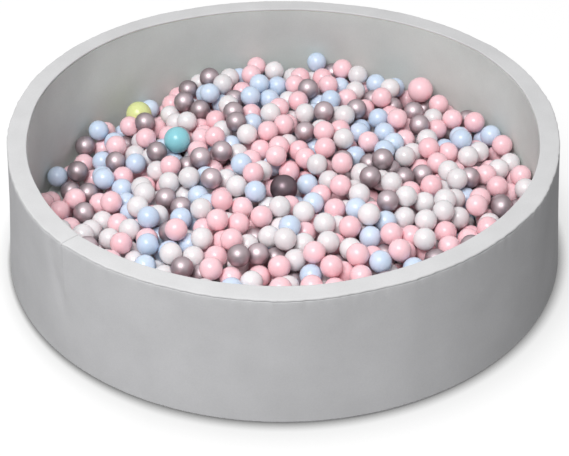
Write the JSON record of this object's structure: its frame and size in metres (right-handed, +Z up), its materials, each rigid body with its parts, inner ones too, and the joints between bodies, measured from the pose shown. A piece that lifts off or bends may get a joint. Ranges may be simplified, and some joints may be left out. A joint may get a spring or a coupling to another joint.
{
  "type": "foam ball pit",
  "caption": "Round foam ball pit: a soft grey fabric-covered ring and floor, zipped round the underside, heaped with small coloured play balls and a few larger ones.",
  "frame": {"origin": "centre of the underside, on the floor", "axes": "+Z up; the picture's camera looks from -Y towards +Y, with +X to its right"},
  "size_m": [1.4036, 1.4036, 0.335],
  "materials": {
    "cover_fabric": "smooth soft grey stretch fabric, matte",
    "rim_fabric": "smooth soft light grey stretch fabric, matte",
    "foam": "open-cell upholstery foam, matte",
    "zip_tape": "woven polyester tape, matte",
    "zip_teeth": "moulded coil, satin",
    "zip_metal": "plain plated metal, satin",
    "ball_pink": "blow-moulded plastic, satin",
    "ball_white": "blow-moulded plastic, satin",
    "ball_blue": "blow-moulded plastic, satin",
    "ball_silver": "pearl blow-moulded plastic, glossy",
    "ball_lime": "blow-moulded plastic, satin",
    "ball_teal": "blow-moulded plastic, satin",
    "ball_charcoal": "blow-moulded plastic, glossy"
  },
  "bodies": {
    "pit": {"foam_wall_back": "foam", "foam_wall_front": "foam", "foam_floor": "foam", "cover_outer_wall": "cover_fabric", "cover_inner_wall": "cover_fabric", "cover_rim": "rim_fabric", "cover_floor": "cover_fabric", "cover_base": "cover_fabric", "cover_base_hem": "cover_fabric", "zip_tape_inner": "zip_tape", "zip_tape_outer": "zip_tape", "zip_teeth_inner": "zip_teeth", "zip_teeth_outer": "zip_teeth", "zip_stop_start": "zip_teeth", "zip_stop_end": "zip_teeth", "ball_heap": "ball_pink"},
    "zip_slider": {"zip_slider": "zip_metal"},
    "zip_pull_tab": {"zip_pull_tab": "zip_metal"},
    "ball_large_lime": {"ball_large_lime": "ball_lime"},
    "ball_large_teal": {"ball_large_teal": "ball_teal"},
    "ball_large_charcoal": {"ball_large_charcoal": "ball_charcoal"},
    "ball_large_pink": {"ball_large_pink": "ball_pink"},
    "ball_pink_01": {"ball_pink_01": "ball_pink"},
    "ball_pink_02": {"ball_pink_02": "ball_pink"},
    "ball_pink_03": {"ball_pink_03": "ball_pink"},
    "ball_pink_04": {"ball_pink_04": "ball_pink"},
    "ball_pink_05": {"ball_pink_05": "ball_pink"},
    "ball_pink_06": {"ball_pink_06": "ball_pink"},
    "ball_pink_07": {"ball_pink_07": "ball_pink"},
    "ball_pink_08": {"ball_pink_08": "ball_pink"},
    "ball_pink_09": {"ball_pink_09": "ball_pink"},
    "ball_pink_10": {"ball_pink_10": "ball_pink"},
    "ball_pink_11": {"ball_pink_11": "ball_pink"},
    "ball_pink_12": {"ball_pink_12": "ball_pink"},
    "ball_pink_13": {"ball_pink_13": "ball_pink"},
    "ball_pink_14": {"ball_pink_14": "ball_pink"},
    "ball_white_01": {"ball_white_01": "ball_white"},
    "ball_white_02": {"ball_white_02": "ball_white"},
    "ball_white_03": {"ball_white_03": "ball_white"},
    "ball_white_04": {"ball_white_04": "ball_white"},
    "ball_white_05": {"ball_white_05": "ball_white"},
    "ball_white_06": {"ball_white_06": "ball_white"},
    "ball_white_07": {"ball_white_07": "ball_white"},
    "ball_white_08": {"ball_white_08": "ball_white"},
    "ball_white_09": {"ball_white_09": "ball_white"},
    "ball_silver_01": {"ball_silver_01": "ball_silver"},
    "ball_silver_02": {"ball_silver_02": "ball_silver"},
    "ball_silver_03": {"ball_silver_03": "ball_silver"},
    "ball_silver_04": {"ball_silver_04": "ball_silver"},
    "ball_silver_05": {"ball_silver_05": "ball_silver"},
    "ball_silver_06": {"ball_silver_06": "ball_silver"},
    "ball_silver_07": {"ball_silver_07": "ball_silver"},
    "ball_silver_08": {"ball_silver_08": "ball_silver"},
    "ball_blue_01": {"ball_blue_01": "ball_blue"},
    "ball_blue_02": {"ball_blue_02": "ball_blue"},
    "ball_blue_03": {"ball_blue_03": "ball_blue"},
    "ball_blue_04": {"ball_blue_04": "ball_blue"},
    "ball_blue_05": {"ball_blue_05": "ball_blue"},
    "ball_blue_06": {"ball_blue_06": "ball_blue"},
    "ball_blue_07": {"ball_blue_07": "ball_blue"}
  },
  "joints": [
    {"name": "zip_travel", "type": "hinge", "parent": "pit", "child": "zip_slider", "pos_m": [0, 0, 0], "axis": [0, 0, 1], "range_deg": [0, 334]},
    {"name": "pull_tab_swing", "type": "hinge", "parent": "zip_slider", "child": "zip_pull_tab", "pos_m": [-0.16821, 0.65399, 0.0015], "axis": [0.2491, -0.9685, 0], "range_deg": [0, 150]},
    {"name": "lift_large_lime", "type": "slide", "parent": "pit", "child": "ball_large_lime", "axis": [0, 0, 1], "range_m": [0, 0.3]},
    {"name": "lift_large_teal", "type": "slide", "parent": "pit", "child": "ball_large_teal", "axis": [0, 0, 1], "range_m": [0, 0.3]},
    {"name": "lift_large_charcoal", "type": "slide", "parent": "pit", "child": "ball_large_charcoal", "axis": [0, 0, 1], "range_m": [0, 0.3]},
    {"name": "lift_large_pink", "type": "slide", "parent": "pit", "child": "ball_large_pink", "axis": [0, 0, 1], "range_m": [0, 0.3]},
    {"name": "lift_pink_01", "type": "slide", "parent": "pit", "child": "ball_pink_01", "axis": [0, 0, 1], "range_m": [0, 0.3]},
    {"name": "lift_pink_02", "type": "slide", "parent": "pit", "child": "ball_pink_02", "axis": [0, 0, 1], "range_m": [0, 0.3]},
    {"name": "lift_pink_03", "type": "slide", "parent": "pit", "child": "ball_pink_03", "axis": [0, 0, 1], "range_m": [0, 0.3]},
    {"name": "lift_pink_04", "type": "slide", "parent": "pit", "child": "ball_pink_04", "axis": [0, 0, 1], "range_m": [0, 0.3]},
    {"name": "lift_pink_05", "type": "slide", "parent": "pit", "child": "ball_pink_05", "axis": [0, 0, 1], "range_m": [0, 0.3]},
    {"name": "lift_pink_06", "type": "slide", "parent": "pit", "child": "ball_pink_06", "axis": [0, 0, 1], "range_m": [0, 0.3]},
    {"name": "lift_pink_07", "type": "slide", "parent": "pit", "child": "ball_pink_07", "axis": [0, 0, 1], "range_m": [0, 0.3]},
    {"name": "lift_pink_08", "type": "slide", "parent": "pit", "child": "ball_pink_08", "axis": [0, 0, 1], "range_m": [0, 0.3]},
    {"name": "lift_pink_09", "type": "slide", "parent": "pit", "child": "ball_pink_09", "axis": [0, 0, 1], "range_m": [0, 0.3]},
    {"name": "lift_pink_10", "type": "slide", "parent": "pit", "child": "ball_pink_10", "axis": [0, 0, 1], "range_m": [0, 0.3]},
    {"name": "lift_pink_11", "type": "slide", "parent": "pit", "child": "ball_pink_11", "axis": [0, 0, 1], "range_m": [0, 0.3]},
    {"name": "lift_pink_12", "type": "slide", "parent": "pit", "child": "ball_pink_12", "axis": [0, 0, 1], "range_m": [0, 0.3]},
    {"name": "lift_pink_13", "type": "slide", "parent": "pit", "child": "ball_pink_13", "axis": [0, 0, 1], "range_m": [0, 0.3]},
    {"name": "lift_pink_14", "type": "slide", "parent": "pit", "child": "ball_pink_14", "axis": [0, 0, 1], "range_m": [0, 0.3]},
    {"name": "lift_white_01", "type": "slide", "parent": "pit", "child": "ball_white_01", "axis": [0, 0, 1], "range_m": [0, 0.3]},
    {"name": "lift_white_02", "type": "slide", "parent": "pit", "child": "ball_white_02", "axis": [0, 0, 1], "range_m": [0, 0.3]},
    {"name": "lift_white_03", "type": "slide", "parent": "pit", "child": "ball_white_03", "axis": [0, 0, 1], "range_m": [0, 0.3]},
    {"name": "lift_white_04", "type": "slide", "parent": "pit", "child": "ball_white_04", "axis": [0, 0, 1], "range_m": [0, 0.3]},
    {"name": "lift_white_05", "type": "slide", "parent": "pit", "child": "ball_white_05", "axis": [0, 0, 1], "range_m": [0, 0.3]},
    {"name": "lift_white_06", "type": "slide", "parent": "pit", "child": "ball_white_06", "axis": [0, 0, 1], "range_m": [0, 0.3]},
    {"name": "lift_white_07", "type": "slide", "parent": "pit", "child": "ball_white_07", "axis": [0, 0, 1], "range_m": [0, 0.3]},
    {"name": "lift_white_08", "type": "slide", "parent": "pit", "child": "ball_white_08", "axis": [0, 0, 1], "range_m": [0, 0.3]},
    {"name": "lift_white_09", "type": "slide", "parent": "pit", "child": "ball_white_09", "axis": [0, 0, 1], "range_m": [0, 0.3]},
    {"name": "lift_silver_01", "type": "slide", "parent": "pit", "child": "ball_silver_01", "axis": [0, 0, 1], "range_m": [0, 0.3]},
    {"name": "lift_silver_02", "type": "slide", "parent": "pit", "child": "ball_silver_02", "axis": [0, 0, 1], "range_m": [0, 0.3]},
    {"name": "lift_silver_03", "type": "slide", "parent": "pit", "child": "ball_silver_03", "axis": [0, 0, 1], "range_m": [0, 0.3]},
    {"name": "lift_silver_04", "type": "slide", "parent": "pit", "child": "ball_silver_04", "axis": [0, 0, 1], "range_m": [0, 0.3]},
    {"name": "lift_silver_05", "type": "slide", "parent": "pit", "child": "ball_silver_05", "axis": [0, 0, 1], "range_m": [0, 0.3]},
    {"name": "lift_silver_06", "type": "slide", "parent": "pit", "child": "ball_silver_06", "axis": [0, 0, 1], "range_m": [0, 0.3]},
    {"name": "lift_silver_07", "type": "slide", "parent": "pit", "child": "ball_silver_07", "axis": [0, 0, 1], "range_m": [0, 0.3]},
    {"name": "lift_silver_08", "type": "slide", "parent": "pit", "child": "ball_silver_08", "axis": [0, 0, 1], "range_m": [0, 0.3]},
    {"name": "lift_blue_01", "type": "slide", "parent": "pit", "child": "ball_blue_01", "axis": [0, 0, 1], "range_m": [0, 0.3]},
    {"name": "lift_blue_02", "type": "slide", "parent": "pit", "child": "ball_blue_02", "axis": [0, 0, 1], "range_m": [0, 0.3]},
    {"name": "lift_blue_03", "type": "slide", "parent": "pit", "child": "ball_blue_03", "axis": [0, 0, 1], "range_m": [0, 0.3]},
    {"name": "lift_blue_04", "type": "slide", "parent": "pit", "child": "ball_blue_04", "axis": [0, 0, 1], "range_m": [0, 0.3]},
    {"name": "lift_blue_05", "type": "slide", "parent": "pit", "child": "ball_blue_05", "axis": [0, 0, 1], "range_m": [0, 0.3]},
    {"name": "lift_blue_06", "type": "slide", "parent": "pit", "child": "ball_blue_06", "axis": [0, 0, 1], "range_m": [0, 0.3]},
    {"name": "lift_blue_07", "type": "slide", "parent": "pit", "child": "ball_blue_07", "axis": [0, 0, 1], "range_m": [0, 0.3]}
  ]
}
